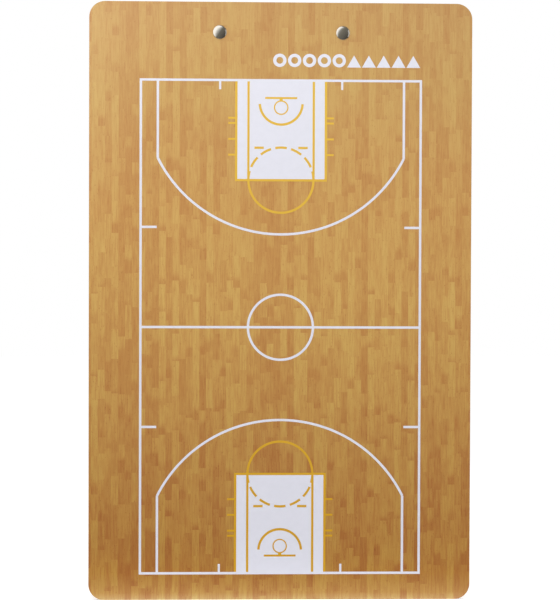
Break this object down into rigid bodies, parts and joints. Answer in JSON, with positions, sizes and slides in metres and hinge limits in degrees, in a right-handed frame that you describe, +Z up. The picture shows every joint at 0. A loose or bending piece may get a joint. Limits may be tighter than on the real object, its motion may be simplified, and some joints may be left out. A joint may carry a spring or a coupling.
{
  "type": "basketball tactics board",
  "caption": "Hand-held clipboard tactics board with a full basketball court printed on its face, a half court behind, and a riveted steel clip whose sprung lever turns on a pin.",
  "frame": {"origin": "middle of the board's bottom edge, halfway through its thickness", "axes": "+Z up the board, +X to the right on the full-court face, +Y through the board towards the clip"},
  "size_m": [0.224, 0.0204, 0.35],
  "materials": {
    "hardboard": "matte",
    "court_film": "gloss",
    "nickel_plate": "polished",
    "spring_steel": "satin",
    "grip_rubber": "matte"
  },
  "bodies": {
    "board": {"board_core": "hardboard", "full_court_film": "court_film", "half_court_film": "court_film", "rivet_left": "nickel_plate", "rivet_right": "nickel_plate", "clip_base_plate": "nickel_plate", "hinge_pin": "nickel_plate", "torsion_spring_left": "spring_steel", "torsion_spring_right": "spring_steel"},
    "lever": {"clip_lever": "nickel_plate", "jaw_grip_left": "grip_rubber", "jaw_grip_right": "grip_rubber"}
  },
  "joints": [
    {"name": "clip_hinge", "type": "hinge", "parent": "board", "child": "lever", "pos_m": [0, 0.00895, 0.3214], "axis": [1, 0, 0], "range_deg": [0, 31], "stiffness_Nm_per_rad": 0.45, "springref_deg": -25.78, "deforming": ["torsion_spring_left", "torsion_spring_right"]}
  ]
}
